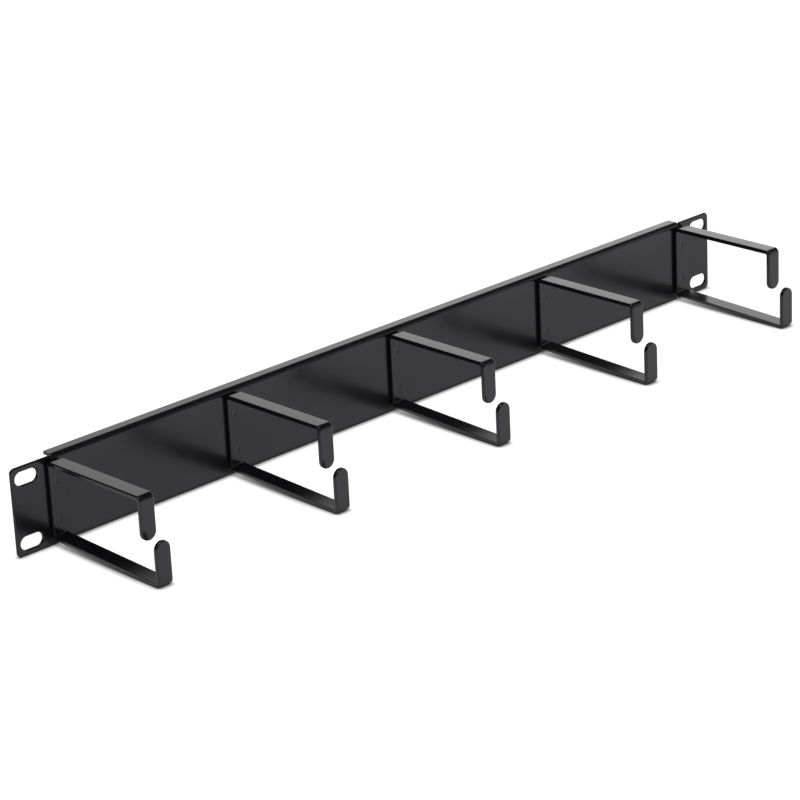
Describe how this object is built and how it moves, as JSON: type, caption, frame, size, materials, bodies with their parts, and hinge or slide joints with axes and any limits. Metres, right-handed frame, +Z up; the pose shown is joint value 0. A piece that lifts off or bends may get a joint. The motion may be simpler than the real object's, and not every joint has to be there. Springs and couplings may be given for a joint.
{
  "type": "horizontal cable manager",
  "caption": "Rack panel folded from sheet steel, with bent flat-bar brackets on its front that hold patch cables behind an open mouth.",
  "frame": {"origin": "centre of the four rack slots, in the plane of the ears' rear faces, which lie on the rack's rails", "axes": "+X along the panel, to the right as seen from the front; +Y from front to rear, into the rack; +Z up"},
  "size_m": [0.4826, 0.0834, 0.0438],
  "materials": {
    "black_powder_coat": "glossy black powder coat over steel"
  },
  "bodies": {
    "root": {"panel": "black_powder_coat", "bracket_1": "black_powder_coat", "bracket_2": "black_powder_coat", "bracket_3": "black_powder_coat", "bracket_4": "black_powder_coat", "bracket_5": "black_powder_coat"}
  },
  "joints": []
}
